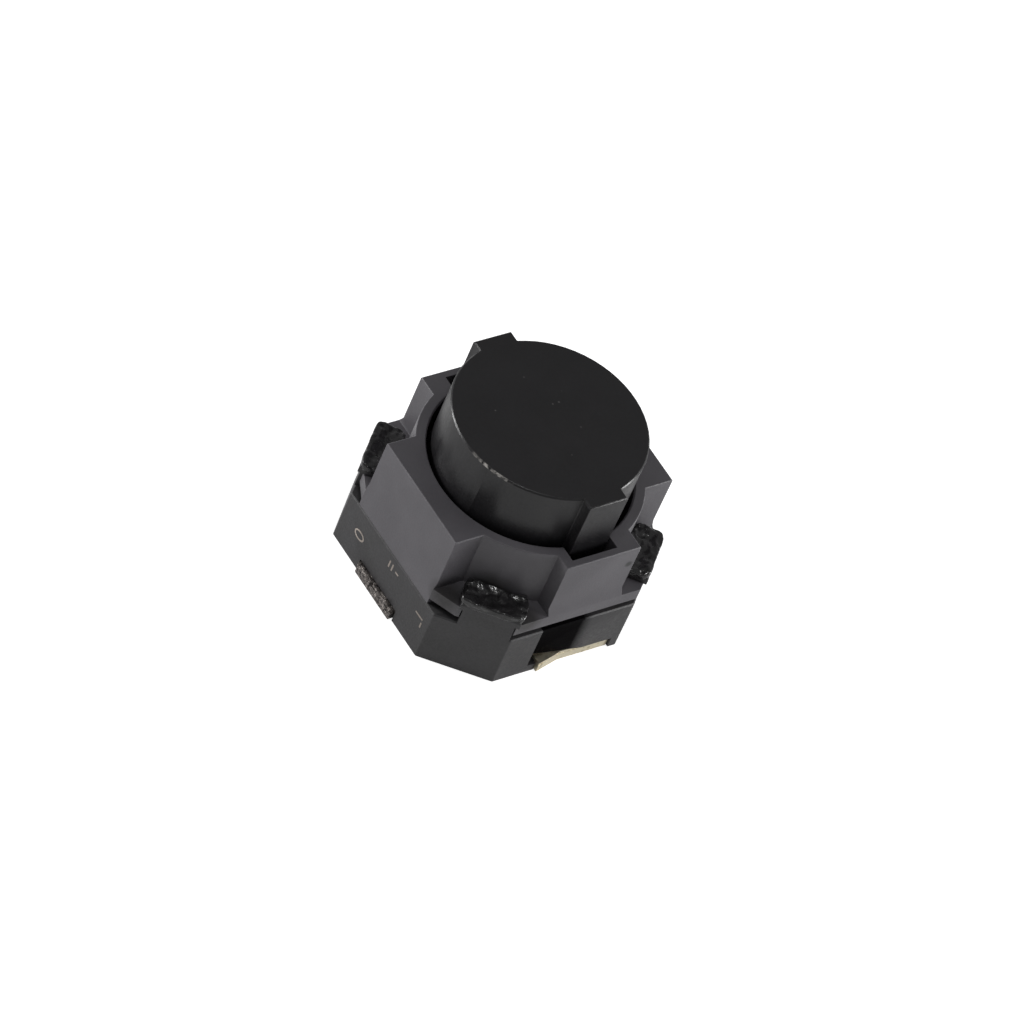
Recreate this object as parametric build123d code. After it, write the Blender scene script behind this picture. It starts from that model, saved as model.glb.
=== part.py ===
"""Sealed tactile push button switch: octagonal base, staked cover and keyed round plunger.

Frame: millimetres, +Z along the plunger axis. The origin is on that axis, at the seating plane on
which the base and its soldering feet stand. +X and +Y are the sides of the square base.
"""
import os
from math import atan2, cos, degrees, radians, sin, tan

from build123d import *

os.makedirs("parts", exist_ok=True)

# Base: an octagonal tray
base_side = 10.0            # across the flats, both ways
corner_cut_x = 2.2          # how much of a front or rear side each corner cut takes
corner_cut_y = 2.0          # how much of a left or right side each corner cut takes
base_height = 2.38
base_floor = 1.0            # floor of the dome well
shoulder_height = 1.6       # ledge that carries the rim of the seal
dome_well_radius = 2.45
well_radius = 4.45          # room for the plunger's lugs and ribs
edge_round = 0.1            # upright edges of the mouldings
edge_break = 0.05           # small chamfer along the parting line

# Stakes: tongues of the base, melted over the cover at its corners
stake_width = 2.0
stake_thickness = 0.62
stake_key_shift = 0.41      # one stake stands off-centre, so that the cover fits one way only
stake_head_width = 2.3
stake_head_height = 0.32
stake_head_proud = 0.1      # how far a melted head bulges past the corner face
stake_head_round = 0.12
stake_head_fill = 0.25      # extra depth, so that the head fills the curve of the notch's wall

# Cover
cover_top = 5.806
cover_half_x = 4.9          # plane of the left and right faces
cover_half_y = 4.82         # plane of the front and rear faces
arm_half_y = 2.45           # half the width of the left and right faces
arm_half_x = 1.92           # half the width of the front and rear faces
key_arm_x = 1.41            # shorter half of the front face, beside the off-centre stake
cover_web_radius = 4.406    # round wall at the bottom of each corner notch
flange_top = 3.2
flange_inset = 0.03         # step from the base's sides to the flange
flange_slant = 27.0         # degrees, the flange's sides beside the left and right faces
flange_slope_height = 0.3   # sloped foot where a face runs out into the flange
parting_gap = 0.28          # open joint under the flange, front, rear and corners
land_radius = 4.72          # seated ring inside the open joint
bore_radius = 3.968
bore_break = 0.06
top_break = 0.03
skirt_clearance = 0.03      # clamping skirt in the base's well
slot_clearance = 0.04       # round each tongue

# Plunger
plunger_radius = 3.787
plunger_top = 8.235
plunger_wall = 0.75
plunger_roof = 1.0
top_round = 0.06
rib_half_width = 0.845
rib_reach = 4.142
rib_side_clearance = 0.155
rib_end_clearance = 0.39
lug_half_width = 1.2
lug_reach = 4.27
lug_height = 0.55
lug_side_clearance = 0.15
lug_end_clearance = 0.15
lug_stop_height = 3.3       # underside of the cover that the lugs rest against
stop_play = 0.02
post_radius = 0.9
press_gap = 0.02            # between the post and the seal's pad

# Contacts: sheet stampings moulded into the base
sheet = 0.34
foot_reach = 0.13           # how far the feet stand past the base's sides
centre_foot_width = 2.36
centre_runner_width = 1.4
centre_runner_height = 0.3
centre_button_radius = 0.7
outer_contact_inner = 1.75
outer_contact_outer = 2.42
outer_contact_half_angle = 40.0
outer_leg_width = 2.0
outer_foot_straight = 2.4   # from the axis to the foot's straight end
outer_foot_slant_start = 0.2
outer_foot_slant_end = -0.9
outer_foot_recess = 0.1     # the straight end stops this far inside the base's side
leg_inset = 0.85            # from the base's side to the back of the upright leg

# Hollows in the base's sides above the front and rear feet
pocket_left = 1.35
pocket_right = 1.05
pocket_depth = 0.45
window_height = 0.2         # dark slit above the left and right feet
window_depth = 0.2
window_margin = 0.1
toe_window_depth = 0.15     # opening that shows the straight end of a front or rear foot
toe_window_height = 0.5
toe_window_margin = 0.05

# Snap dome
dome_radius = 2.3
dome_height = 0.4
dome_thickness = 0.08

# Seal
seal_thickness = 0.25
seal_clearance = 0.03
seal_pad_radius = 0.75
seal_pad_gap = 0.05
seal_pad_height = 1.0
seal_web_thickness = 0.16
seal_wave_rise = 0.35
seal_wave_inner = 1.2
seal_wave_gap = 0.13        # between the rolled web and the spring

# Return spring
spring_skirt_gap = 0.177    # inside the plunger's skirt
spring_wire_radius = 0.14
spring_turns = 5
spring_end_gap = 0.02

# Worked out from the sizes above
half_side = base_side / 2
corner_angle = degrees(atan2(corner_cut_x, corner_cut_y))
corner_mid = (half_side - corner_cut_x / 2, half_side - corner_cut_y / 2)
flange_half = half_side - flange_inset
seal_top = shoulder_height + seal_thickness
lug_top = lug_stop_height - stop_play
plunger_bottom = lug_top - lug_height
roof_underside = plunger_top - plunger_roof
dome_top = base_floor + dome_height
pad_bottom = dome_top + seal_pad_gap
pad_top = pad_bottom + seal_pad_height
foot_edge = half_side + foot_reach
leg_back = half_side - leg_inset
spring_radius = plunger_radius - plunger_wall - spring_skirt_gap - spring_wire_radius
seal_wave_outer = spring_radius - spring_wire_radius - seal_wave_gap
CORNERS = [(-1, -1), (1, -1), (1, 1), (-1, 1)]
KEY_CORNER = (-1, -1)


def prism(points, low, high):
    """Upright prism on a polygon, between two heights."""
    return Pos(0, 0, low) * extrude(Polygon(*points, align=None), high - low, dir=(0, 0, 1))


def disc(radius, low, high):
    """Cylinder on the axis, between two heights."""
    return Pos(0, 0, low) * Cylinder(radius, high - low, align=(Align.CENTER, Align.CENTER, Align.MIN))


def block(x, y, z):
    """Box given by its (low, high) limits along each axis."""
    size = [high - low for low, high in (x, y, z)]
    return Pos(x[0], y[0], z[0]) * Box(*size, align=(Align.MIN, Align.MIN, Align.MIN))


def half_turn(shape):
    """The same shape on the opposite side of the axis."""
    return Rot(0, 0, 180) * shape


def corner_plane(corner):
    """Plane at the middle of a corner cut: x points outwards, y runs along the cut."""
    side_x, side_y = corner
    angle = radians(corner_angle)
    middle = (side_x * corner_mid[0], side_y * corner_mid[1], 0)
    return Plane(origin=middle, x_dir=(side_x * cos(angle), side_y * sin(angle), 0), z_dir=(0, 0, 1))


def octagon(inset):
    """Outline of the base, drawn in by an inset."""
    edge = half_side - inset
    short_x = half_side - corner_cut_x
    short_y = half_side - corner_cut_y
    quarter = [(edge, short_y), (short_x, edge)]
    mirrored = [(-x, y) for x, y in reversed(quarter)]
    upper = quarter + mirrored
    return upper + [(-x, -y) for x, y in upper]


def stake_shift(corner):
    """Where a stake stands along its corner cut."""
    return stake_key_shift if corner == KEY_CORNER else 0.0


def stake_block(corner, width, depth, proud, low, high):
    """Block at a corner, measured inwards from the corner face."""
    shift = stake_shift(corner)
    local = block((-depth, proud), (shift - width / 2, shift + width / 2), (low, high))
    return corner_plane(corner) * local


def notch_depth():
    """From a corner face to the round wall of the cover's notch."""
    angle = radians(corner_angle)
    return corner_mid[0] * cos(angle) + corner_mid[1] * sin(angle) - cover_web_radius


def stake_heads():
    """The four melted heads, resting on the flange and cleared from the cover's upper body."""
    heads = []
    depth = notch_depth() + stake_head_fill
    for corner in CORNERS:
        head = stake_block(corner, stake_head_width, depth, stake_head_proud,
                           flange_top, flange_top + stake_head_height)
        head = fillet(head.edges().group_by(Axis.Z)[-1], stake_head_round)
        heads.append(head - cover_upper(skirt_clearance))
    return heads


def base_housing():
    """Octagonal tray with its stepped well, tongues, melted heads and hollows for the feet."""
    tray = prism(octagon(0), 0, base_height)
    tray = fillet(tray.edges().filter_by(Axis.Z), edge_round)
    tray = chamfer(tray.faces().sort_by(Axis.Z)[-1].edges(), edge_break)
    for corner in CORNERS:
        tray += stake_block(corner, stake_width, stake_thickness, 0, shoulder_height, flange_top)
    for head in stake_heads():
        tray += head
    tray -= disc(well_radius, shoulder_height, base_height)
    tray -= disc(dome_well_radius, base_floor, base_height)
    for hollow in (foot_pocket(), foot_window(), toe_window()):
        tray -= hollow
        tray -= half_turn(hollow)
    for contact in (centre_contact(), outer_contact(), half_turn(outer_contact())):
        tray -= contact
    return tray


def foot_pocket():
    """Hollow above the front foot: deepest at its left end, it runs out to the right."""
    face = -half_side
    outline = [(-pocket_left, face), (-pocket_left, face + pocket_depth), (pocket_right, face)]
    return prism(outline, sheet, base_height - edge_break)


def foot_window():
    """Slit above the left foot, where the mould closed on the stamping."""
    half_width = centre_foot_width / 2 + window_margin
    return block((-half_side, window_depth - half_side), (-half_width, half_width),
                 (0, sheet + window_height))


def toe_window():
    """Opening in the front side at its foot, so that the stamping's edge shows along it."""
    return block((outer_foot_slant_end - toe_window_margin, outer_foot_straight + toe_window_margin),
                 (-half_side, toe_window_depth - half_side), (0, toe_window_height))


def cover_upper(grow=0.0):
    """Upper body of the cover: two crossed arms and a round web; grow adds a clearance."""
    low = base_height
    reach_x = cover_half_x + grow
    reach_y = cover_half_y + grow
    arm_x = arm_half_x + grow
    arm_y = arm_half_y + grow
    key_x = key_arm_x + grow
    body = disc(cover_web_radius + grow, low, cover_top)
    body += block((-reach_x, reach_x), (-arm_y, arm_y), (low, cover_top))
    body += block((-arm_x, arm_x), (0, reach_y), (low, cover_top))
    body += block((-key_x, arm_x), (-reach_y, 0), (low, cover_top))
    return body


def flange_outline():
    """Outline of the flange, with its slanted sides beside the left and right faces."""
    angle = radians(corner_angle)
    slope = tan(radians(flange_slant))
    plane_distance = corner_mid[0] * cos(angle) + corner_mid[1] * sin(angle) - flange_inset
    start_distance = flange_half * cos(angle) + arm_half_y * sin(angle)
    run = (plane_distance - start_distance) / (sin(angle) - slope * cos(angle))
    tip = (flange_half - slope * run, arm_half_y + run)
    end_x = (plane_distance - flange_half * sin(angle)) / cos(angle)
    quarter = [(flange_half, arm_half_y), tip, (end_x, flange_half)]
    upper = quarter + [(-x, y) for x, y in reversed(quarter)]
    return upper + [(-x, -y) for x, y in upper]


def face_slopes():
    """Sloped feet that run from the four upper faces out into the flange."""
    top = flange_top + flange_slope_height
    side = Plane.XZ * Polygon((cover_half_x, flange_top), (flange_half, flange_top),
                              (cover_half_x, top), align=None)
    right = Pos(0, arm_half_y, 0) * extrude(side, 2 * arm_half_y)
    end = Plane.YZ * Polygon((cover_half_y, flange_top), (flange_half, flange_top),
                             (cover_half_y, top), align=None)
    rear = Pos(-arm_half_x, 0, 0) * extrude(end, 2 * arm_half_x)
    front = Pos(-key_arm_x, 0, 0) * extrude(end, key_arm_x + arm_half_x)
    return [right, half_turn(right), rear, mirror(front, Plane.XZ)]


def open_joint():
    """Gap between cover and base outside the seated ring, except at the left and right faces."""
    gap = prism(octagon(-flange_inset), base_height, base_height + parting_gap)
    gap -= disc(land_radius, base_height, base_height + parting_gap)
    gap -= block((-base_side, base_side), (-arm_half_y, arm_half_y), (base_height, cover_top))
    return gap


def cover():
    """Cover with flange, bore, key slots, lug pockets and the skirt that clamps the seal."""
    body = cover_upper()
    body = chamfer(body.faces().sort_by(Axis.Z)[-1].edges(), top_break)
    body += prism(flange_outline(), base_height, flange_top)
    for slope in face_slopes():
        body += slope
    body -= open_joint()
    for corner in CORNERS:
        body -= stake_block(corner, stake_width + 2 * slot_clearance, stake_thickness + slot_clearance,
                            base_side, base_height, flange_top)
    body += disc(well_radius - skirt_clearance, seal_top, base_height)
    body -= disc(bore_radius, seal_top, cover_top)
    body -= Pos(0, 0, cover_top - bore_break) * Cone(
        bore_radius, bore_radius + bore_break, bore_break, align=(Align.CENTER, Align.CENTER, Align.MIN))
    slot_x = rib_half_width + rib_side_clearance
    slot_y = rib_reach + rib_end_clearance
    body -= block((-slot_x, slot_x), (-slot_y, slot_y), (seal_top, cover_top))
    pocket_x = lug_reach + lug_end_clearance
    pocket_y = lug_half_width + lug_side_clearance
    body -= block((-pocket_x, pocket_x), (-pocket_y, pocket_y), (seal_top, lug_stop_height))
    return body


def plunger():
    """Hollow button with two key ribs, two retaining lugs and a post that presses the seal."""
    body = disc(plunger_radius, plunger_bottom, plunger_top)
    body += block((-rib_half_width, rib_half_width), (-rib_reach, rib_reach), (plunger_bottom, plunger_top))
    body = chamfer(body.faces().sort_by(Axis.Z)[-1].edges(), top_round, top_round)
    body += block((-lug_reach, lug_reach), (-lug_half_width, lug_half_width), (plunger_bottom, lug_top))
    body -= disc(plunger_radius - plunger_wall, plunger_bottom, roof_underside)
    body += disc(post_radius, pad_top + press_gap, roof_underside + plunger_roof / 2)
    return body


def centre_contact():
    """Runner across the base with two feet and a coined button under the middle of the dome."""
    half_runner = centre_runner_width / 2
    half_foot = centre_foot_width / 2
    runner_top = centre_runner_height + sheet
    body = block((-leg_back - sheet, leg_back + sheet), (-half_runner, half_runner),
                 (centre_runner_height, runner_top))
    body += disc(centre_button_radius, centre_runner_height, base_floor)
    leg = block((leg_back, leg_back + sheet), (-half_foot, half_foot), (0, runner_top))
    foot = block((leg_back, foot_edge), (-half_foot, half_foot), (0, sheet))
    return body + leg + foot + half_turn(leg) + half_turn(foot)


def outer_contact():
    """Front stamping: a curved land under the dome's rim, a leg and a foot with a slanted end."""
    half_leg = outer_leg_width / 2
    low = base_floor - sheet
    land = disc(outer_contact_outer, low, base_floor) - disc(outer_contact_inner, low, base_floor)
    reach = base_side
    half_chord = reach * tan(radians(outer_contact_half_angle))
    land &= prism([(0, 0), (-half_chord, -reach), (half_chord, -reach)], low, base_floor)
    mid_radius = (outer_contact_inner + outer_contact_outer) / 2
    arm = block((-half_leg, half_leg), (-leg_back - sheet, -mid_radius), (low, base_floor))
    leg = block((-half_leg, half_leg), (-leg_back - sheet, -leg_back), (0, base_floor))
    inside_edge = -half_side + outer_foot_recess
    outline = [(outer_foot_straight, -leg_back), (outer_foot_straight, inside_edge),
               (outer_foot_slant_start, inside_edge), (outer_foot_slant_end, -foot_edge),
               (outer_foot_slant_end, -leg_back)]
    foot = prism(outline, 0, sheet)
    return land + arm + leg + foot


def snap_dome():
    """Shallow spherical cap of spring steel; its rim stands on the outer contacts."""
    sphere_radius = (dome_radius ** 2 + dome_height ** 2) / (2 * dome_height)
    centre = base_floor + dome_height - sphere_radius
    shell = Pos(0, 0, centre) * (Sphere(sphere_radius) - Sphere(sphere_radius - dome_thickness))
    return shell & disc(dome_radius, base_floor, dome_top)


def seal_membrane():
    """Silicone diaphragm: clamped rim, rolled web and the pad that presses the dome."""
    rim = well_radius - seal_clearance
    outer = seal_wave_outer
    inner = seal_wave_inner
    middle = (outer + inner) / 2
    crest = seal_top + seal_wave_rise
    under = seal_top - seal_web_thickness
    top = Polyline((rim, shoulder_height), (rim, seal_top), (outer, seal_top))
    top += ThreePointArc((outer, seal_top), (middle, crest), (inner, seal_top))
    top += Polyline((inner, seal_top), (seal_pad_radius, seal_top), (seal_pad_radius, pad_top), (0, pad_top),
                    (0, pad_bottom), (seal_pad_radius, pad_bottom), (seal_pad_radius, under), (inner, under))
    top += ThreePointArc((inner, under), (middle, crest - seal_web_thickness), (outer, under))
    top += Polyline((outer, under), (outer, shoulder_height), (rim, shoulder_height))
    return revolve(Plane.XZ * make_face(top), Axis.Z)


def return_spring():
    """Coil spring between the seal's rim and the plunger's roof."""
    low = seal_top + spring_wire_radius + spring_end_gap
    high = roof_underside - spring_wire_radius - spring_end_gap
    path = Helix((high - low) / spring_turns, high - low, spring_radius, center=(0, 0, low))
    section = Plane(origin=path @ 0, z_dir=path % 0) * Circle(spring_wire_radius)
    return sweep(section, path)


PARTS = {
    "base_housing": base_housing(),
    "cover": cover(),
    "plunger": plunger(),
    "centre_contact": centre_contact(),
    "outer_contact_front": outer_contact(),
    "outer_contact_rear": half_turn(outer_contact()),
    "snap_dome": snap_dome(),
    "seal_membrane": seal_membrane(),
    "return_spring": return_spring(),
}

for name, shape in PARTS.items():
    export_step(shape, f"parts/{name}.step")
    print(name, round(shape.volume, 3))
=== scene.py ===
"""Looks of a sealed tactile push button switch, built around its packed construction frame.

The frame gives every hard part its place. This script bevels and dresses the mouldings, and adds what
the frame leaves plain: the melted heads of the stakes, the sheared ends of the soldering feet, the burnt
marks on the base and the springy pieces inside.
"""

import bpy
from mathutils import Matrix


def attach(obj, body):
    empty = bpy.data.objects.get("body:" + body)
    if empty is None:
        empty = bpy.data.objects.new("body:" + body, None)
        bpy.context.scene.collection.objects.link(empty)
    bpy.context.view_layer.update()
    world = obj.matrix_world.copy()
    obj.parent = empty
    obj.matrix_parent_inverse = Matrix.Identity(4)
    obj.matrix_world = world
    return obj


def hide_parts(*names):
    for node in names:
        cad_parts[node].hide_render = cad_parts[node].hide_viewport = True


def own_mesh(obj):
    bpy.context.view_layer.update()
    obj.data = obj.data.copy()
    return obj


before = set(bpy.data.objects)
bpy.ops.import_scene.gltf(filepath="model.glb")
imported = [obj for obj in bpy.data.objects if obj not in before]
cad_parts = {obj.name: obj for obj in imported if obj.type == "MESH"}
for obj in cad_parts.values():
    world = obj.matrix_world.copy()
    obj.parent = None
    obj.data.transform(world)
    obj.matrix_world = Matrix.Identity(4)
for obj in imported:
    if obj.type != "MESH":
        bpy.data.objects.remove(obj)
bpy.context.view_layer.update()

import logging
from dataclasses import dataclass
from enum import Enum
from math import cos, pi, radians, sin

import bmesh
import bpy
from mathutils import Matrix, Vector, noise

MM = 0.001
HALF_SIDE_MM = 5.0
BUTTON_TOP_MM = 8.235
WELD_MM = 0.0005
NOISE_SPAN = (0.3, 0.7)        # range that most of a noise field lies in
EDGE_SPAN = (0.995, 0.9)       # cosine from plain to rounded normal: on a face, on an edge
log = logging.getLogger("switch")


class Body(Enum):
    """Bodies of the frame that a piece can ride on."""

    HOUSING = "housing"
    BUTTON = "button"


def linear(hex_colour: str) -> tuple[float, float, float, float]:
    """Turn an sRGB hex colour into linear RGBA.

    Args:
        hex_colour: Colour such as "#3a3a3c".

    Returns:
        Linear red, green and blue, with alpha 1.
    """
    channels = [int(hex_colour[i:i + 2], 16) / 255 for i in (1, 3, 5)]
    curve = [c / 12.92 if c <= 0.04045 else ((c + 0.055) / 1.055) ** 2.4 for c in channels]
    return (*curve, 1.0)


def add_node(tree: bpy.types.NodeTree, kind: str, settings: dict[str, object] | None = None,
             inputs: dict[str | int, object] | None = None) -> bpy.types.Node:
    """Add a shader node with its settings and links.

    Args:
        tree: Node tree to add to.
        kind: Blender's node type.
        settings: Attributes of the node.
        inputs: Socket name or index to a value or to another node's output.

    Returns:
        The new node.
    """
    node = tree.nodes.new(kind)
    for name, value in (settings or {}).items():
        setattr(node, name, value)
    for name, value in (inputs or {}).items():
        if isinstance(value, bpy.types.NodeSocket):
            tree.links.new(value, node.inputs[name])
        else:
            node.inputs[name].default_value = value
    return node


def new_material(name: str) -> tuple[bpy.types.Material, bpy.types.NodeTree]:
    """Make an empty node material.

    Args:
        name: Material name.

    Returns:
        The material and its cleared node tree.
    """
    material = bpy.data.materials.new(name)
    material.use_nodes = True
    material.node_tree.nodes.clear()
    return material, material.node_tree


def millimetres(tree: bpy.types.NodeTree) -> bpy.types.NodeSocket:
    """Scale object coordinates so that one unit is a millimetre.

    Args:
        tree: Node tree to add to.

    Returns:
        The place on the piece, in millimetres.
    """
    place = add_node(tree, "ShaderNodeTexCoord").outputs["Object"]
    scale = {0: place, "Scale": 1 / MM}
    return add_node(tree, "ShaderNodeVectorMath", {"operation": "SCALE"}, scale).outputs[0]


def noise_field(tree: bpy.types.NodeTree, size_mm: float, detail: float = 3.0,
                stretch: tuple[float, float, float] = (1, 1, 1)) -> bpy.types.NodeSocket:
    """Noise whose grains are about a given size.

    Args:
        tree: Node tree to add to.
        size_mm: Grain size in millimetres.
        detail: Number of finer octaves.
        stretch: Extra scale along each axis, for drawn-out grain.

    Returns:
        The noise value, from 0 to 1.
    """
    place = add_node(tree, "ShaderNodeVectorMath", {"operation": "MULTIPLY"},
                     {0: millimetres(tree), 1: stretch}).outputs[0]
    return add_node(tree, "ShaderNodeTexNoise", {}, {"Vector": place, "Scale": 1 / size_mm,
                                                     "Detail": detail}).outputs["Fac"]


def remap(tree: bpy.types.NodeTree, value: bpy.types.NodeSocket, low: float, high: float,
          to_low: float = 0.0, to_high: float = 1.0) -> bpy.types.NodeSocket:
    """Clamp a value between two limits and spread it over a new range."""
    return add_node(tree, "ShaderNodeMapRange", {}, {
        "Value": value, "From Min": low, "From Max": high, "To Min": to_low, "To Max": to_high}).outputs[0]


def mix_colour(tree: bpy.types.NodeTree, factor: bpy.types.NodeSocket | float,
               first: bpy.types.NodeSocket | tuple, second: bpy.types.NodeSocket | tuple
               ) -> bpy.types.NodeSocket:
    """Blend two colours by a factor."""
    return add_node(tree, "ShaderNodeMix", {"data_type": "RGBA"}, {0: factor, 6: first, 7: second}).outputs[2]


def product(tree: bpy.types.NodeTree, *masks: bpy.types.NodeSocket | float) -> bpy.types.NodeSocket:
    """Multiply masks, so that the result shows only where all of them do.

    Args:
        tree: Node tree to add to.
        masks: Masks or plain strengths, two or more.

    Returns:
        The masks' product.
    """
    amount = masks[0]
    for mask in masks[1:]:
        amount = add_node(tree, "ShaderNodeMath", {"operation": "MULTIPLY"}, {0: amount, 1: mask}).outputs[0]
    return amount


def edge_mask(tree: bpy.types.NodeTree, radius_mm: float) -> bpy.types.NodeSocket:
    """Mask that is 1 on the rounded edges of a piece and 0 on its faces.

    Args:
        tree: Node tree to add to.
        radius_mm: How far from an edge the mask reaches.

    Returns:
        The mask, from 0 to 1.
    """
    rounded = add_node(tree, "ShaderNodeBevel", {"samples": 4}, {"Radius": radius_mm * MM}).outputs[0]
    plain = add_node(tree, "ShaderNodeNewGeometry").outputs["Normal"]
    match = add_node(tree, "ShaderNodeVectorMath", {"operation": "DOT_PRODUCT"}, {0: rounded, 1: plain})
    return remap(tree, match.outputs["Value"], *EDGE_SPAN)


@dataclass(frozen=True)
class Spot:
    """A small mark on a surface: where it is, how large and what colour it turns."""

    place_mm: tuple[float, float, float]
    radius_mm: float
    colour: str
    softness: float = 0.4

    def mask(self, tree: bpy.types.NodeTree) -> bpy.types.NodeSocket:
        """Mask that is 1 inside the spot and fades to 0 at its rim.

        Args:
            tree: Node tree to add to.

        Returns:
            The mask, from 0 to 1.
        """
        away = add_node(tree, "ShaderNodeVectorMath", {"operation": "DISTANCE"},
                        {0: millimetres(tree), 1: self.place_mm}).outputs["Value"]
        return remap(tree, away, self.radius_mm, self.radius_mm * (1 - self.softness))


# Darker patches on the cover around the near stake, on the ledges and the wall of its notch.
NEAR_STAKE_DARK_PATCHES = (Spot((-4.6, -2.85, 3.2), 0.85, "#2a2829", 0.6),
            Spot((-2.3, -4.75, 3.2), 0.8, "#2c2a2b", 0.6),
            Spot((-3.0, -3.2, 3.5), 0.9, "#302e2f", 0.7))


@dataclass(frozen=True)
class WornRimAndHighlight:
    """Stretch of a round top edge, worn pale by handling and painted paler as a highlight."""

    spot: Spot
    inner_mm: float
    low_mm: float
    blend_mm: float = 0.03
    patch_mm: float = 0.2
    patch_span: tuple[float, float] = (0.38, 0.6)

    def tint(self, tree: bpy.types.NodeTree, colour: bpy.types.NodeSocket) -> bpy.types.NodeSocket:
        """Blend the pale colour, part wear and part painted highlight, into the rim, in broken patches.

        Args:
            tree: Node tree to add to.
            colour: Colour of the surface so far.

        Returns:
            The colour with the worn, highlighted stretch in it.
        """
        flat = add_node(tree, "ShaderNodeVectorMath", {"operation": "MULTIPLY"},
                        {0: millimetres(tree), 1: (1.0, 1.0, 0.0)}).outputs[0]
        reach = add_node(tree, "ShaderNodeVectorMath", {"operation": "LENGTH"}, {0: flat}).outputs["Value"]
        height = add_node(tree, "ShaderNodeSeparateXYZ", {}, {0: millimetres(tree)}).outputs[2]
        masks = (remap(tree, reach, self.inner_mm, self.inner_mm + self.blend_mm),
                 remap(tree, height, self.low_mm, self.low_mm + self.blend_mm),
                 remap(tree, noise_field(tree, self.patch_mm, 2), *self.patch_span),
                 self.spot.mask(tree))
        return mix_colour(tree, product(tree, *masks), colour, linear(self.spot.colour))


@dataclass(frozen=True)
class PaintedShadeHollow:
    """Painted shade in a hollow in the front side, repeated on the rear one: a near-black colour and a weak
    reflection, crisp at its left, soft at its right.
    """

    left_mm: float
    right_mm: float
    fade_mm: float
    low_mm: float
    colour: str
    gloss: float = 0.02
    deep_mm: float = 0.7
    back_blend_mm: float = 0.05
    side_blend_mm: float = 0.03
    low_blend_mm: float = 0.02

    def mask(self, tree: bpy.types.NodeTree) -> bpy.types.NodeSocket:
        """Mask of the painted shade: 1 inside the hollow and 0 elsewhere.

        Args:
            tree: Node tree to add to.

        Returns:
            The mask, from 0 to 1.
        """
        back = HALF_SIDE_MM - self.deep_mm
        axes = add_node(tree, "ShaderNodeSeparateXYZ", {}, {0: millimetres(tree)}).outputs
        side = add_node(tree, "ShaderNodeMath", {"operation": "SIGN"}, {0: axes[1]}).outputs[0]
        along = product(tree, axes[0], side)
        out = add_node(tree, "ShaderNodeMath", {"operation": "ABSOLUTE"}, {0: axes[1]}).outputs[0]
        masks = (remap(tree, along, self.left_mm, self.left_mm - self.side_blend_mm),
                 remap(tree, along, -self.right_mm, self.fade_mm - self.right_mm),
                 remap(tree, axes[2], self.low_mm, self.low_mm + self.low_blend_mm),
                 remap(tree, out, back, back + self.back_blend_mm))
        return product(tree, *masks)


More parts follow.
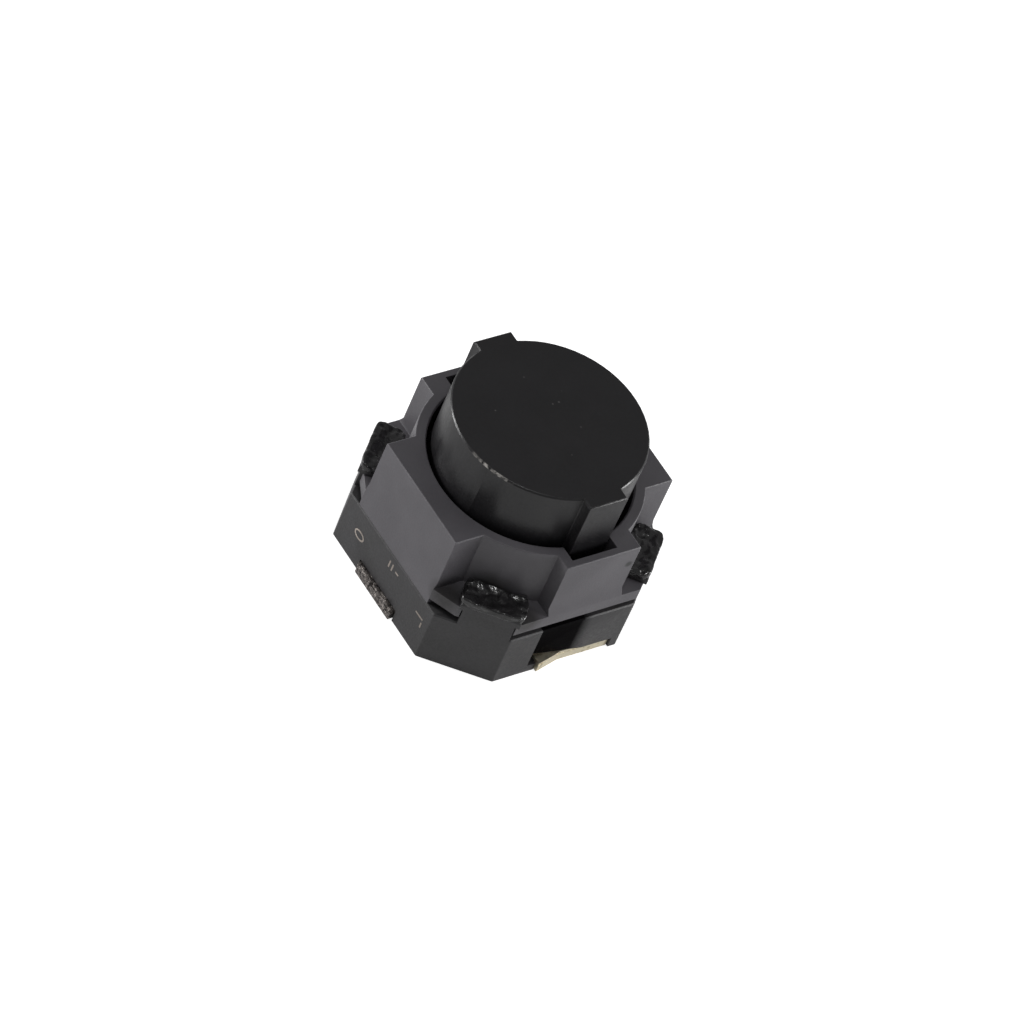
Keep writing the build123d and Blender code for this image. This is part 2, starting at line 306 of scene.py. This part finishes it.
@dataclass(frozen=True)
class MouldedPlastic:
    """Injection-moulded engineering plastic with an eroded mould finish.

    Real spark grain is about 0.02 mm across; it is drawn two to five times coarser, so that it shows.
    """

    name: str
    colour: str
    shade: str
    edge_wear_and_highlight_colour: str
    roughness: float
    rough_spread: float = 0.06
    ior: float = 1.53
    gloss: float = 0.5
    grain_mm: float = 0.07
    grain_bump: float = 0.25
    grain_depth_mm: float = 0.02
    cloud_mm: float = 1.6
    cloud_span: tuple[float, float] = (0.35, 0.65)
    edge_wear_and_highlight: float = 0.35
    edge_wear_and_highlight_radius_mm: float = 0.05
    edge_wear_and_highlight_patch_mm: float = 0.35
    edge_wear_and_highlight_span: tuple[float, float] = (0.4, 0.65)
    dust: float = 0.0
    dust_colour: str = "#8c8a88"
    dust_strength: float = 0.5
    dust_per_mm: float = 1.7
    dust_span: tuple[float, float] = (0.075, 0.04)
    spots: tuple[Spot, ...] = ()
    worn_rim_and_highlight: WornRimAndHighlight | None = None
    hollow: PaintedShadeHollow | None = None

    def make(self) -> bpy.types.Material:
        """Build the material: clouded colour, worn edges with painted highlights, dust, spots, a worn and
        highlighted rim, painted shade in a hollow and a grained surface.

        Returns:
            The finished material.
        """
        material, tree = new_material(self.name)
        cloud = remap(tree, noise_field(tree, self.cloud_mm, 4), *self.cloud_span)
        colour = mix_colour(tree, cloud, linear(self.shade), linear(self.colour))
        colour = self.add_edge_wear_and_highlight(tree, colour)
        colour = self.add_dust(tree, colour)
        for spot in self.spots:
            colour = mix_colour(tree, spot.mask(tree), colour, linear(spot.colour))
        if self.worn_rim_and_highlight:
            colour = self.worn_rim_and_highlight.tint(tree, colour)
        gloss = self.gloss
        # Painted shade in the hollow: near-black colour and a weaker reflection.
        if self.hollow:
            painted_shade = self.hollow.mask(tree)
            colour = mix_colour(tree, painted_shade, colour, linear(self.hollow.colour))
            gloss = remap(tree, painted_shade, 0, 1, self.gloss, self.hollow.gloss)
        grain = noise_field(tree, self.grain_mm, 2)
        rough = remap(tree, grain, *NOISE_SPAN, self.roughness - self.rough_spread,
                      self.roughness + self.rough_spread)
        bump = add_node(tree, "ShaderNodeBump", {}, {
            "Strength": self.grain_bump, "Distance": self.grain_depth_mm * MM, "Height": grain}).outputs[0]
        shader = add_node(tree, "ShaderNodeBsdfPrincipled", {}, {
            "Base Color": colour, "Roughness": rough, "IOR": self.ior, "Specular IOR Level": gloss,
            "Normal": bump})
        add_node(tree, "ShaderNodeOutputMaterial", {}, {"Surface": shader.outputs[0]})
        return material

    def add_edge_wear_and_highlight(self, tree: bpy.types.NodeTree, colour: bpy.types.NodeSocket) -> bpy.types.NodeSocket:
        """Lighten the edges in broken patches: wear that handling polishes into a moulding, and painted
        highlights along the edges.

        Args:
            tree: Node tree to add to.
            colour: Colour of the surface so far.

        Returns:
            The colour with the worn, highlighted edges in it.
        """
        patches = remap(tree, noise_field(tree, self.edge_wear_and_highlight_patch_mm, 3), *self.edge_wear_and_highlight_span)
        amount = product(tree, edge_mask(tree, self.edge_wear_and_highlight_radius_mm), patches, self.edge_wear_and_highlight)
        return mix_colour(tree, amount, colour, linear(self.edge_wear_and_highlight_colour))

    def add_dust(self, tree: bpy.types.NodeTree, colour: bpy.types.NodeSocket) -> bpy.types.NodeSocket:
        """Scatter a few pale specks of dust.

        Args:
            tree: Node tree to add to.
            colour: Colour of the surface so far.

        Returns:
            The colour with the dust in it.
        """
        if not self.dust:
            return colour
        cells = add_node(tree, "ShaderNodeTexVoronoi", {"feature": "F1"},
                         {"Vector": millimetres(tree), "Scale": self.dust_per_mm, "Randomness": 1.0})
        speck = remap(tree, cells.outputs["Distance"], *self.dust_span)
        chosen = add_node(tree, "ShaderNodeSeparateColor", {}, {0: cells.outputs["Color"]}).outputs[0]
        keep = remap(tree, chosen, 1 - self.dust, 1 - self.dust + 0.01)
        amount = product(tree, speck, keep, self.dust_strength)
        return mix_colour(tree, amount, colour, linear(self.dust_colour))


@dataclass(frozen=True)
class RemeltedNylon:
    """Nylon that was melted by a hot tool and froze again: smooth, glossy, with drawn ripples."""

    name: str = "remelted_black_nylon"
    colour: str = "#161516"
    pale: str = "#262526"
    roughness: float = 0.14
    rough_spread: float = 0.15
    ior: float = 1.53
    ripple_mm: float = 0.3
    pit_mm: float = 0.08
    pit_share: float = 0.1
    ripple_span: tuple[float, float] = (0.35, 0.7)
    pit_span: tuple[float, float] = (0.35, 0.75)
    bump: float = 0.65
    depth_mm: float = 0.06

    def make(self) -> bpy.types.Material:
        """Build the material: near black, wet-looking, with ripples and small pits.

        Returns:
            The finished material.
        """
        material, tree = new_material(self.name)
        ripple = noise_field(tree, self.ripple_mm, 2, (1.0, 1.0, 2.0))
        pits = noise_field(tree, self.pit_mm, 2)
        height = add_node(tree, "ShaderNodeMath", {"operation": "MULTIPLY_ADD"},
                          {0: pits, 1: self.pit_share, 2: ripple})
        bump = add_node(tree, "ShaderNodeBump", {}, {
            "Strength": self.bump, "Distance": self.depth_mm * MM, "Height": height.outputs[0]}).outputs[0]
        crests = remap(tree, ripple, *self.ripple_span)
        tone = mix_colour(tree, crests, linear(self.colour), linear(self.pale))
        rough = remap(tree, pits, *self.pit_span, self.roughness, self.roughness + self.rough_spread)
        shader = add_node(tree, "ShaderNodeBsdfPrincipled", {}, {
            "Base Color": tone, "Roughness": rough, "IOR": self.ior, "Normal": bump})
        add_node(tree, "ShaderNodeOutputMaterial", {}, {"Surface": shader.outputs[0]})
        return material


@dataclass(frozen=True)
class PlatedStrip:
    """Stamped copper alloy strip with a thin plating, sheared at its ends."""

    name: str
    colour: str
    stain: str
    roughness: float
    rough_below: float = 0.08
    rough_above: float = 0.12
    stain_mm: float = 0.3
    stained: float = 0.5
    stain_span: tuple[float, float] = (0.62, 0.66)
    stain_reach: float = 0.3
    bump: float = 0.4
    draw_mm: float = 0.05
    depth_mm: float = 0.03

    def make(self) -> bpy.types.Material:
        """Build the material: metal with stained patches and a rough, drawn surface.

        Returns:
            The finished material.
        """
        material, tree = new_material(self.name)
        start, full = self.stain_span
        start -= self.stained * self.stain_reach
        patches = remap(tree, noise_field(tree, self.stain_mm, 4), start, full)
        tone = mix_colour(tree, patches, linear(self.colour), linear(self.stain))
        draw = noise_field(tree, self.draw_mm, 3, (1.0, 1.0, 4.0))
        rough = remap(tree, draw, *NOISE_SPAN, self.roughness - self.rough_below,
                      self.roughness + self.rough_above)
        bump = add_node(tree, "ShaderNodeBump", {}, {
            "Strength": self.bump, "Distance": self.depth_mm * MM, "Height": draw}).outputs[0]
        shader = add_node(tree, "ShaderNodeBsdfPrincipled", {}, {
            "Base Color": tone, "Metallic": 1.0, "Roughness": rough, "Normal": bump})
        add_node(tree, "ShaderNodeOutputMaterial", {}, {"Surface": shader.outputs[0]})
        return material


@dataclass(frozen=True)
class SiliconeRubber:
    """Press-moulded silicone: soft, slightly cloudy and dusty."""

    name: str = "moulded_silicone"
    colour: str = "#7d7b78"
    shade: str = "#6a6865"
    ior: float = 1.41
    cloud_mm: float = 0.8
    bloom_mm: float = 0.1
    rough_span: tuple[float, float] = (0.5, 0.65)

    def make(self) -> bpy.types.Material:
        """Build the material: cloudy grey with a soft sheen.

        Returns:
            The finished material.
        """
        material, tree = new_material(self.name)
        cloud = remap(tree, noise_field(tree, self.cloud_mm, 3), *NOISE_SPAN)
        tone = mix_colour(tree, cloud, linear(self.colour), linear(self.shade))
        rough = remap(tree, noise_field(tree, self.bloom_mm, 2), *NOISE_SPAN, *self.rough_span)
        shader = add_node(tree, "ShaderNodeBsdfPrincipled", {}, {
            "Base Color": tone, "Roughness": rough, "IOR": self.ior})
        add_node(tree, "ShaderNodeOutputMaterial", {}, {"Surface": shader.outputs[0]})
        return material


def new_piece(name: str, shape: bmesh.types.BMesh, material: bpy.types.Material, body: Body,
              smooth_degrees: float = 35.0) -> bpy.types.Object:
    """Turn a bmesh into a piece that rides on a body.

    Args:
        name: Piece name.
        shape: Finished mesh in metres; it is freed here.
        material: Finish of the piece.
        body: Body that carries it.
        smooth_degrees: Edges flatter than this are shaded smooth.

    Returns:
        The new object.
    """
    mesh = bpy.data.meshes.new(name)
    bmesh.ops.recalc_face_normals(shape, faces=shape.faces)
    shape.to_mesh(mesh)
    shape.free()
    piece = bpy.data.objects.new(name, mesh)
    bpy.context.scene.collection.objects.link(piece)
    mesh.materials.append(material)
    mesh.shade_smooth()
    mesh.set_sharp_from_angle(angle=radians(smooth_degrees))
    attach(piece, body.value)
    return piece


def apply_modifiers(piece: bpy.types.Object) -> None:
    """Make a piece's modifiers part of its mesh.

    Args:
        piece: Object whose modifiers are applied and removed.
    """
    graph = bpy.context.evaluated_depsgraph_get()
    mesh = bpy.data.meshes.new_from_object(piece.evaluated_get(graph))
    old = piece.data
    piece.modifiers.clear()
    piece.data = mesh
    bpy.data.meshes.remove(old)


@dataclass
class Moulding:
    """A hard part of the frame, copied with rounded edges in place of its sharp ones."""

    node: str
    name: str
    material: bpy.types.Material
    body: Body
    slot: str
    edge_mm: float = 0.02
    flat_degrees: float = 0.5
    sharp_degrees: float = 32.0

    def build(self) -> bpy.types.Object:
        """Copy the node's mesh, join its seams and flat faces, round its edges and hide the node.

        Returns:
            The rounded piece.
        """
        shape = bmesh.new()
        shape.from_mesh(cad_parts[self.node].data)
        bmesh.ops.remove_doubles(shape, verts=shape.verts, dist=WELD_MM * MM)
        bmesh.ops.dissolve_limit(shape, angle_limit=radians(self.flat_degrees), verts=shape.verts,
                                 edges=shape.edges)
        piece = new_piece(self.name, shape, self.material, self.body, self.sharp_degrees)
        rounding = piece.modifiers.new("edges", "BEVEL")
        rounding.width = self.edge_mm * MM
        rounding.segments = 2
        rounding.limit_method = "ANGLE"
        rounding.angle_limit = radians(self.sharp_degrees)
        rounding.harden_normals = True
        apply_modifiers(piece)
        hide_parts(self.node)
        log.info("%s: %d faces", self.name, len(piece.data.polygons))
        return piece


@dataclass
class StakeHead:
    """One tongue's end, melted over the cover by a hot tool."""

    corner: tuple[int, int]
    material: bpy.types.Material
    shift_mm: float = 0.0
    length_mm: float = 2.5
    depth_mm: float = 1.22
    height_mm: float = 0.42
    proud_mm: float = 0.11
    base_z_mm: float = 3.34
    cut_x_mm: float = 2.2
    cut_y_mm: float = 2.0
    power: float = 5.0
    swell_per_mm: float = 1.5
    ripple_per_mm: float = 4.5
    dish_mm: float = 0.14
    top_swell_mm: float = 0.12
    top_ripple_mm: float = 0.07
    side_swell_mm: float = 0.05
    side_ripple_mm: float = 0.015
    end_swell_mm: float = 0.06
    noise_steps: tuple[float, float, float] = (7.3, 3.1, 1.7)
    seed: int = 1
    levels: int = 5
    smooth_degrees: float = 80.0

    def frame_axes(self) -> Matrix:
        """Corner frame: x outwards, y along the corner face, z up, origin on the corner face.

        Returns:
            Matrix from the corner's frame to the switch's, in millimetres.
        """
        side_x, side_y = self.corner
        outward = Vector((side_x * self.cut_y_mm, side_y * self.cut_x_mm, 0)).normalized()
        along = Vector((-outward.y, outward.x, 0))
        middle = Vector((side_x * (HALF_SIDE_MM - self.cut_x_mm / 2),
                         side_y * (HALF_SIDE_MM - self.cut_y_mm / 2), 0))
        return Matrix.Translation(middle) @ Matrix((
            (outward.x, along.x, 0, 0), (outward.y, along.y, 0, 0), (0, 0, 1, 0), (0, 0, 0, 1)))

    def build(self) -> bpy.types.Object:
        """Model the head as a squashed, lumpy pillow that fills the notch.

        Returns:
            The melted head.
        """
        shape = bmesh.new()
        bmesh.ops.create_cube(shape, size=2.0)
        bmesh.ops.subdivide_edges(shape, edges=shape.edges, cuts=2 ** self.levels - 1, use_grid_fill=True)
        axes = self.frame_axes()
        offset = Vector([self.seed * step for step in self.noise_steps])
        for vert in shape.verts:
            place = self.pillow(vert.co)
            place = self.lump(place, offset)
            vert.co = (axes @ place) * MM
        name = f"stake_head_{self.seed}"
        piece = new_piece(name, shape, self.material, Body.HOUSING, self.smooth_degrees)
        log.info("%s: %d faces", name, len(piece.data.polygons))
        return piece

    def pillow(self, co: Vector) -> Vector:
        """Round a cube of half side 1 into a pillow of the head's size.

        Args:
            co: Point on the cube.

        Returns:
            The point on the pillow, in the corner's frame.
        """
        power = self.power
        reach = (abs(co.x) ** power + abs(co.y) ** power + abs(co.z) ** power) ** (1 / power)
        x, y, z = co / reach
        middle_x = self.proud_mm - self.depth_mm / 2
        return Vector((middle_x + x * self.depth_mm / 2,
                       self.shift_mm + y * self.length_mm / 2,
                       self.base_z_mm + self.height_mm / 2 + z * self.height_mm / 2))

    def lump(self, place: Vector, offset: Vector) -> Vector:
        """Push the pillow in and out in soft lumps, with a dished middle where the tool pressed.

        Args:
            place: Point on the pillow, in the corner's frame.
            offset: Where this head's noise starts.

        Returns:
            The moved point.
        """
        across = (place.y - self.shift_mm) / (self.length_mm / 2)
        inwards = (self.proud_mm - place.x) / self.depth_mm
        top = max(0.0, (place.z - self.base_z_mm) / self.height_mm)
        big = noise.noise(place * self.swell_per_mm + offset)
        small = noise.noise(place * self.ripple_per_mm + offset)
        dish = self.dish_mm * (1 - across ** 2) * sin(pi * min(1.0, max(0.0, inwards)))
        lift = top * (self.top_swell_mm * big + self.top_ripple_mm * small - dish)
        bulge = self.side_ripple_mm * small + self.side_swell_mm * big
        return place + Vector((bulge * (1 - inwards), self.end_swell_mm * big * across, lift))


@dataclass
class SolderFoot:
    """The visible end of a soldering foot: thick strip with a torn, sheared edge."""

    name: str
    outline_mm: list[tuple[float, float]]
    material: bpy.types.Material
    slot: str
    height_mm: float
    turned: bool = False
    roughen_mm: float = 0.04
    grain_mm: float = 0.25
    fine_ratio: float = 3.0
    fine_share: float = 0.5
    step_mm: float = 0.06
    passes: int = 6
    noise_steps: tuple[float, float, float] = (5.1, 2.7, 0.0)
    seed: int = 1
    smooth_degrees: float = 50.0

    def build(self) -> bpy.types.Object:
        """Extrude the outline, divide it finely and tear its surface with noise.

        Returns:
            The torn foot end.
        """
        shape = bmesh.new()
        low = [shape.verts.new((x, y, 0)) for x, y in self.outline_mm]
        face = shape.faces.new(low)
        made = bmesh.ops.extrude_face_region(shape, geom=[face])
        upper = [g for g in made["geom"] if isinstance(g, bmesh.types.BMVert)]
        bmesh.ops.translate(shape, verts=upper, vec=(0, 0, self.height_mm))
        bmesh.ops.triangulate(shape, faces=shape.faces)
        for _ in range(self.passes):
            long_edges = [e for e in shape.edges if e.calc_length() > self.step_mm]
            if not long_edges:
                break
            bmesh.ops.subdivide_edges(shape, edges=long_edges, cuts=1)
            bmesh.ops.triangulate(shape, faces=shape.faces)
        shape.normal_update()
        offset = Vector([self.seed * step for step in self.noise_steps])
        fine_mm = self.grain_mm / self.fine_ratio
        for vert in shape.verts:
            coarse = noise.noise(vert.co / self.grain_mm + offset)
            tear = coarse + self.fine_share * noise.noise(vert.co / fine_mm + offset)
            push = vert.normal * tear * self.roughen_mm
            push.z = max(push.z, -vert.co.z)
            vert.co += push
        turn = Matrix.Rotation(pi if self.turned else 0, 4, "Z")
        shape.transform(Matrix.Scale(MM, 4) @ turn)
        piece = new_piece(self.name, shape, self.material, Body.HOUSING, self.smooth_degrees)
        log.info("%s: %d faces", self.name, len(piece.data.polygons))
        return piece


@dataclass
class LaserMark:
    """A plain line burnt into the left side of the base, with no lettering."""

    name: str
    points_mm: list[tuple[float, float]]
    material: bpy.types.Material
    plane_mm: float = -HALF_SIDE_MM
    width_mm: float = 0.07
    proud_mm: float = 0.004
    sunk_mm: float = 0.02
    least_cosine: float = 0.4

    def build(self) -> bpy.types.Object:
        """Lay one thin ribbon along the points, on the side of the base.

        Returns:
            The burnt line.
        """
        shape = bmesh.new()
        points = [Vector(point) for point in self.points_mm]
        rails = [[shape.verts.new((self.plane_mm + self.sunk_mm, *self.beside(points, i, side)))
                  for i in range(len(points))] for side in (1, -1)]
        faces = [shape.faces.new((rails[0][i], rails[0][i + 1], rails[1][i + 1], rails[1][i]))
                 for i in range(len(points) - 1)]
        made = bmesh.ops.extrude_face_region(shape, geom=faces)
        outer = [g for g in made["geom"] if isinstance(g, bmesh.types.BMVert)]
        bmesh.ops.translate(shape, verts=outer, vec=(-self.sunk_mm - self.proud_mm, 0, 0))
        shape.transform(Matrix.Scale(MM, 4))
        return new_piece(self.name, shape, self.material, Body.HOUSING)

    def beside(self, points: list[Vector], i: int, side: int) -> Vector:
        """Find the point half a line's width to one side of a point, mitred at bends.

        Args:
            points: The line's points.
            i: Which point.
            side: 1 for the left of the line, -1 for its right.

        Returns:
            The point beside the line.
        """
        before = (points[i] - points[i - 1]).normalized() if i else None
        after = (points[i + 1] - points[i]).normalized() if i < len(points) - 1 else None
        first = before or after
        along = (first + (after or first)).normalized()
        mitre = self.width_mm / 2 / max(self.least_cosine, along.dot(first))
        return points[i] + side * mitre * Vector((-along.y, along.x))


@dataclass
class SoftInside:
    """An inner piece, copied from its node onto the housing."""

    node: str
    name: str
    material: bpy.types.Material
    slot: str
    anchor_mm: float
    keep: float

    def build(self) -> bpy.types.Object:
        """Copy the node's mesh and hide the node.

        Returns:
            The soft piece.
        """
        shape = bmesh.new()
        shape.from_mesh(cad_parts[self.node].data)
        bmesh.ops.remove_doubles(shape, verts=shape.verts, dist=WELD_MM * MM)
        piece = new_piece(self.name, shape, self.material, Body.HOUSING)
        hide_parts(self.node)
        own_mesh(piece)
        log.info("%s: %d faces", self.name, len(piece.data.polygons))
        return piece


@dataclass
class Switch:
    """The whole switch: mouldings, stakes, feet, marks and what is inside."""

    foot_height_mm: float = 0.46
    torn_foot_height_mm: float = 0.5
    foot_depth_mm: float = 0.35
    near_head_shift_mm: float = 0.41
    ring_centre_mm: tuple[float, float] = (1.8, 1.33)
    ring_radii_mm: tuple[float, float] = (0.27, 0.17)
    ring_step_degrees: int = 15
    base: MouldedPlastic = MouldedPlastic(
        # Glass-filled nylon from an eroded mould: nearly black with a dry, greyish bloom.
        "black_glass_filled_nylon", "#2f2e30", "#292829", "#5d5b5f", 0.5, grain_mm=0.09, grain_bump=0.3,
        # Painted shade darkens the hollows where the feet leave the front and rear sides.
        edge_wear_and_highlight=0.4, dust=0.05, hollow=PaintedShadeHollow(1.36, 0.95, 0.4, 0.34, "#060506"))
    cover: MouldedPlastic = MouldedPlastic(
        # Unfilled nylon with grey pigment: paler and smoother than the base.
        "dark_grey_nylon", "#504e52", "#4a484c", "#747276", 0.45, grain_mm=0.08, grain_bump=0.2, edge_wear_and_highlight=0.5,
        dust=0.08, spots=(*NEAR_STAKE_DARK_PATCHES,
                          # Painted shade standing in for a small dimple in the front side.
                          Spot((1.66, -4.82, 4.94), 0.2, "#1b1b1c", 0.6),
                          Spot((-4.9, 0.77, 2.92), 0.07, "#a9a7a5"),
                          Spot((-4.9, -0.82, 3.05), 0.05, "#98969a")))
    button: MouldedPlastic = MouldedPlastic(
        # Acetal: black, dense and slightly waxy, so it shows soft reflections.
        "black_acetal", "#19181a", "#151416", "#444243", 0.34, ior=1.48, grain_mm=0.1, grain_bump=0.12,
        edge_wear_and_highlight=0.6, edge_wear_and_highlight_radius_mm=0.06, dust=0.12, dust_colour="#4b494a",
        # Pale rim at the left front: part wear, part painted highlight.
        worn_rim_and_highlight=WornRimAndHighlight(Spot((-3.46, -1.33, 8.2), 1.0, "#a5a19d", 0.5), 3.7, 8.14),
        spots=tuple(Spot((x, y, BUTTON_TOP_MM), radius, "#4c4a4b", 0.6) for x, y, radius in (
            (0.47, 0.60, 0.045), (0.75, 0.61, 0.050), (-1.85, 1.00, 0.040), (0.92, -0.68, 0.035),
            (0.09, 2.05, 0.035), (3.52, 1.25, 0.030), (-0.15, -1.72, 0.030))))

    def build(self) -> None:
        """Build and dress every piece in order."""
        base, cover, button = self.base.make(), self.cover.make(), self.button.make()
        Moulding("base_housing", "base_shell", base, Body.HOUSING, "base_plastic").build()
        Moulding("cover", "cover_shell", cover, Body.HOUSING, "cover_plastic").build()
        Moulding("plunger", "button_shell", button, Body.BUTTON, "plunger_plastic").build()
        self.build_stakes()
        self.build_feet()
        self.build_marks()
        self.build_inside()

    def build_stakes(self) -> None:
        """Melt a head over the cover at each corner."""
        melted = RemeltedNylon().make()
        corners = (((-1, -1), self.near_head_shift_mm), ((1, -1), 0.0), ((1, 1), 0.0), ((-1, 1), 0.0))
        for seed, (corner, shift) in enumerate(corners, 1):
            StakeHead(corner, melted, shift, seed=seed).build()

    def build_feet(self) -> None:
        """Give the soldering feet their torn ends and dress the stampings."""
        # Gold flash over nickel on a blanked strip: pale, warm and half matt.
        gold = PlatedStrip("gold_flash_on_nickel", "#ddd5bf", "#b3a88c", 0.38, stained=0.2, bump=0.35).make()
        # Tin plate that was sheared and left to dull: grey, with dark blotches in the tear.
        tin = PlatedStrip("dull_tin_plate", "#8d8783", "#2b2829", 0.45, stain_mm=0.16, stained=0.9,
                          bump=0.8).make()
        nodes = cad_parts
        for node, finish in (("outer_contact_front", gold), ("outer_contact_rear", gold),
                             ("centre_contact", tin)):
            nodes[node].data.materials.clear()
            nodes[node].data.materials.append(finish)
        inside = -HALF_SIDE_MM + self.foot_depth_mm
        slanted = [(-0.92, inside), (2.42, inside), (2.42, -4.9), (0.2, -4.88), (-0.3, -5.0), (-0.92, -5.12)]
        straight = [(inside, -1.2), (inside, 1.2), (-5.11, 1.2), (-5.12, 0.3), (-5.03, 0.19), (-5.12, 0.08),
                    (-5.12, -1.1)]
        for turned, end in ((False, "front"), (True, "rear")):
            SolderFoot(f"solder_foot_{end}", slanted, gold, "gold_plate", self.foot_height_mm, turned,
                       roughen_mm=0.015, seed=2).build()
        for turned, end in ((False, "left"), (True, "right")):
            SolderFoot(f"solder_foot_{end}", straight, tin, "tin_plate", self.torn_foot_height_mm, turned,
                       roughen_mm=0.06, seed=5).build()

    def build_marks(self) -> None:
        """Burn plain strokes into the left side of the base."""
        # Nylon foamed by a laser: paler than the base and quite matt.
        burnt = MouldedPlastic("laser_burnt_nylon", "#9c928a", "#7b726b", "#9c928a", 0.6, grain_mm=0.04,
                               edge_wear_and_highlight=0.0).make()
        (middle, height), (half_width, half_height) = self.ring_centre_mm, self.ring_radii_mm
        ring = [(middle + half_width * cos(radians(a)), height + half_height * sin(radians(a)))
                for a in range(0, 361, self.ring_step_degrees)]
        lines = [ring,
                 [(-0.08, 1.72), (-0.08, 2.06)], [(-0.28, 1.72), (-0.28, 2.06)], [(-0.5, 1.9), (-0.7, 1.9)],
                 [(-2.15, 1.6), (-2.62, 1.6)], [(-2.62, 1.45), (-2.62, 1.2)]]
        for number, points in enumerate(lines, 1):
            LaserMark(f"laser_line_{number}", points, burnt).build()

    def build_inside(self) -> None:
        """Dress the dome, the seal and the spring."""
        # Rolled stainless spring steel: cool, bright and smooth.
        steel = PlatedStrip("rolled_stainless", "#c8c8ca", "#a5a5a8", 0.22, stained=0.1, bump=0.1).make()
        rubber = SiliconeRubber().make()
        SoftInside("snap_dome", "click_dome", steel, "spring_steel", anchor_mm=1.0, keep=0.3).build()
        SoftInside("seal_membrane", "seal_diaphragm", rubber, "silicone", anchor_mm=1.45, keep=0.2).build()
        SoftInside("return_spring", "coil_spring", steel, "spring_steel", anchor_mm=1.85, keep=0.85).build()


@dataclass
class Studio:
    """Pale floor, soft lamps and the camera."""

    heading: float = 50.69
    elevation: float = 45.75
    roll: float = 24.98
    distance_mm: float = 273.669
    aim_right_mm: float = 1.02
    aim_up_mm: float = 1.845
    lens_mm: float = 260.16
    floor_mm: float = 600.0
    near_clip_m: float = 0.01
    lamps: tuple[tuple[str, tuple[float, float, float], float, float], ...] = (
        # name, place in mm, side in mm, power in W
        ("lamp_left", (-75, 95, 26), 46, 0.135),
        ("lamp_right", (95, -75, 26), 46, 0.13),
        ("lamp_top", (-20, -20, 150), 18, 0.035))
    room_light: float = 0.27
    floor_glow_seen: float = 0.7
    floor_glow_glossy: float = 0.15
    floor_glow_diffuse: float = 0.2

    def build(self) -> None:
        """Set up the floor, light and camera."""
        self.build_floor()
        self.build_world()
        for name, place, size, power in self.lamps:
            self.build_lamp(name, Vector(place) * MM, size * MM, power)
        self.build_camera()
        bpy.context.scene.view_settings.view_transform = "Standard"
        log.info("studio: %d lamps", len(self.lamps))

    def build_floor(self) -> None:
        """Lay a pale floor that the camera and glossy surfaces see as white, with its shadow kept."""
        half = self.floor_mm / 2 * MM
        shape = bmesh.new()
        corners = ((-half, -half), (half, -half), (half, half), (-half, half))
        shape.faces.new([shape.verts.new((x, y, 0)) for x, y in corners])
        mesh = bpy.data.meshes.new("floor")
        shape.to_mesh(mesh)
        shape.free()
        floor = bpy.data.objects.new("floor", mesh)
        bpy.context.scene.collection.objects.link(floor)
        material, tree = new_material("pale_floor")
        path = add_node(tree, "ShaderNodeLightPath").outputs
        glow = None
        for ray, strength in (("Is Camera Ray", self.floor_glow_seen),
                              ("Is Glossy Ray", self.floor_glow_glossy),
                              ("Is Diffuse Ray", self.floor_glow_diffuse)):
            inputs = {0: path[ray], 1: strength, 2: glow if glow else 0.0}
            glow = add_node(tree, "ShaderNodeMath", {"operation": "MULTIPLY_ADD"}, inputs).outputs[0]
        shade = add_node(tree, "ShaderNodeBsdfDiffuse", {}, {"Color": linear("#e8e8e8")})
        light = add_node(tree, "ShaderNodeEmission", {}, {"Strength": glow})
        both = add_node(tree, "ShaderNodeAddShader", {}, {0: shade.outputs[0], 1: light.outputs[0]})
        add_node(tree, "ShaderNodeOutputMaterial", {}, {"Surface": both.outputs[0]})
        mesh.materials.append(material)

    def build_world(self) -> None:
        """Surround the set with soft grey light; the camera sees white."""
        world = bpy.data.worlds.new("soft_room")
        bpy.context.scene.world = world
        world.use_nodes = True
        tree = world.node_tree
        tree.nodes.clear()
        path = add_node(tree, "ShaderNodeLightPath").outputs
        dim = add_node(tree, "ShaderNodeBackground", {}, {"Color": linear("#ffffff"),
                                                      "Strength": self.room_light})
        white = add_node(tree, "ShaderNodeBackground", {}, {"Color": linear("#ffffff"), "Strength": 1.0})
        both = add_node(tree, "ShaderNodeMixShader", {}, {
            0: path["Is Camera Ray"], 1: dim.outputs[0], 2: white.outputs[0]})
        add_node(tree, "ShaderNodeOutputWorld", {}, {"Surface": both.outputs[0]})

    def build_lamp(self, name: str, place: Vector, size: float, power: float) -> None:
        """Hang one square softbox that faces the switch.

        Args:
            name: Lamp name.
            place: Where it hangs, in metres.
            size: Length of its side, in metres.
            power: Power in watts.
        """
        lamp = bpy.data.lights.new(name, "AREA")
        lamp.shape = "SQUARE"
        lamp.size = size
        lamp.energy = power
        holder = bpy.data.objects.new(name, lamp)
        bpy.context.scene.collection.objects.link(holder)
        holder.location = place
        holder.rotation_euler = (-place).to_track_quat("-Z", "Y").to_euler()

    def build_camera(self) -> None:
        """Place the long lens that looks down on the switch's near corner, rolled to one side."""
        heading, tilt, roll = (radians(a) for a in (self.heading, self.elevation, self.roll))
        forward = Vector((sin(heading) * cos(tilt), cos(heading) * cos(tilt), -sin(tilt)))
        level = forward.cross(Vector((0, 0, 1))).normalized()
        upright = level.cross(forward)
        right = cos(roll) * level + sin(roll) * upright
        up = cos(roll) * upright - sin(roll) * level
        place = self.aim_right_mm * right + self.aim_up_mm * up - self.distance_mm * forward
        lens = bpy.data.cameras.new("camera")
        lens.lens = self.lens_mm
        lens.clip_start = self.near_clip_m
        camera = bpy.data.objects.new("camera", lens)
        bpy.context.scene.collection.objects.link(camera)
        turn = Matrix((right, up, -forward)).transposed().to_4x4()
        camera.matrix_world = Matrix.Translation(place * MM) @ turn
        bpy.context.scene.camera = camera


def main() -> None:
    """Build the studio and the switch."""
    logging.basicConfig(level=logging.INFO, format="%(name)s %(message)s")
    Studio().build()
    Switch().build()


if __name__ == "__main__":
    main()
